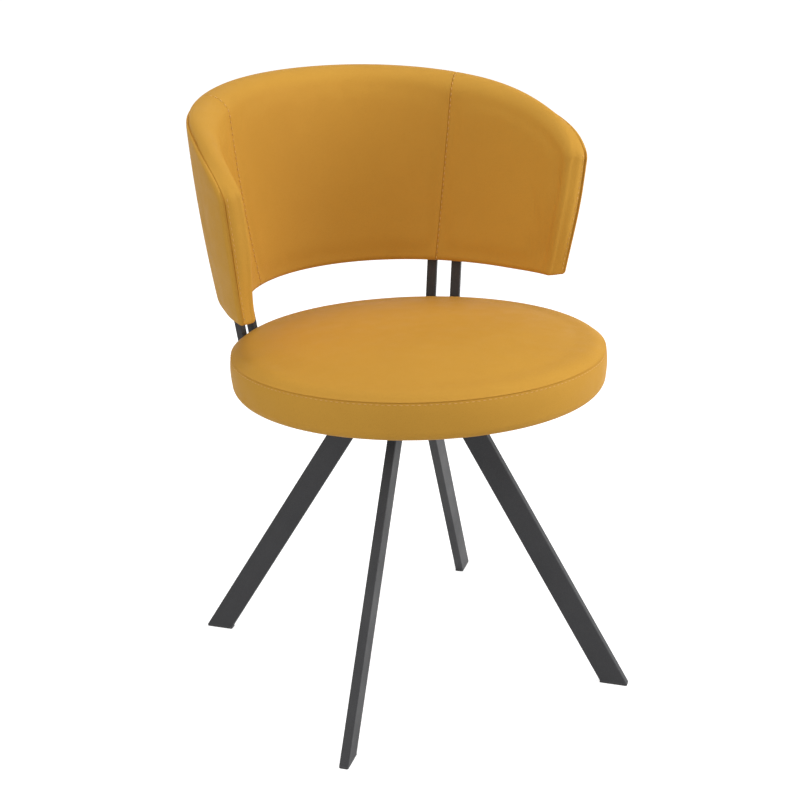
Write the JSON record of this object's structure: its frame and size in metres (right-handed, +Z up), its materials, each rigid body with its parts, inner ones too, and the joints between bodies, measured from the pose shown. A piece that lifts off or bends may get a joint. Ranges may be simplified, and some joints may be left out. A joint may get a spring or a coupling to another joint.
{
  "type": "swivel dining chair",
  "caption": "Dining chair with a round upholstered seat and a wrap-around padded back on slim uprights, turning on a ball swivel over four raked rectangular tube legs.",
  "frame": {"origin": "on the floor, on the swivel axis, midway between the four feet", "axes": "+Z up along the swivel axis, -Y the way the chair faces, +X to the viewer's right when looking along +Y"},
  "size_m": [0.5274, 0.5658, 0.766],
  "materials": {
    "leather": "satin",
    "powder_coat": "matte",
    "zinc_steel": "satin",
    "ball_steel": "polished",
    "plywood": "matte",
    "foam": "matte",
    "black_plastic": "matte",
    "dust_cloth": "matte"
  },
  "bodies": {
    "base": {"base_plate": "powder_coat", "leg_front_right": "powder_coat", "leg_rear_right": "powder_coat", "leg_rear_left": "powder_coat", "leg_front_left": "powder_coat", "glide_front_right": "black_plastic", "glide_rear_right": "black_plastic", "glide_rear_left": "black_plastic", "glide_front_left": "black_plastic", "swivel_lower_plate": "powder_coat", "base_bolts": "zinc_steel", "pivot_bolt": "zinc_steel", "pivot_washer": "zinc_steel", "pivot_nut": "zinc_steel"},
    "ball_race": {"ball_cage": "black_plastic", "race_balls": "ball_steel"},
    "seat": {"swivel_upper_plate": "powder_coat", "tilt_bracket_right": "powder_coat", "tilt_bracket_left": "powder_coat", "carrier_plate": "powder_coat", "front_arm_right": "powder_coat", "front_arm_left": "powder_coat", "upright_right_outer": "powder_coat", "upright_right_inner": "powder_coat", "upright_left_outer": "powder_coat", "upright_left_inner": "powder_coat", "bracket_bolts": "zinc_steel", "seat_tee_nuts": "zinc_steel", "seat_screws": "zinc_steel", "back_screws": "zinc_steel", "pivot_bush": "black_plastic", "seat_board": "plywood", "back_board": "plywood", "seat_foam": "foam", "seat_dust_cover": "dust_cloth", "seat_top_cover": "leather", "seat_side_band": "leather", "back_centre_pad": "leather", "back_right_wing": "leather", "back_left_wing": "leather", "back_outer_panel": "leather"}
  },
  "joints": [
    {"name": "seat_swivel", "type": "hinge", "parent": "base", "child": "seat", "pos_m": [0, 0, 0.37], "axis": [0, 0, 1], "continuous": true},
    {"name": "ball_race_turn", "type": "hinge", "parent": "base", "child": "ball_race", "pos_m": [0, 0, 0.37], "axis": [0, 0, 1], "continuous": true}
  ],
  "couplings": [
    {"joint": "ball_race_turn", "follows": "seat_swivel", "ratio": 0.5}
  ]
}
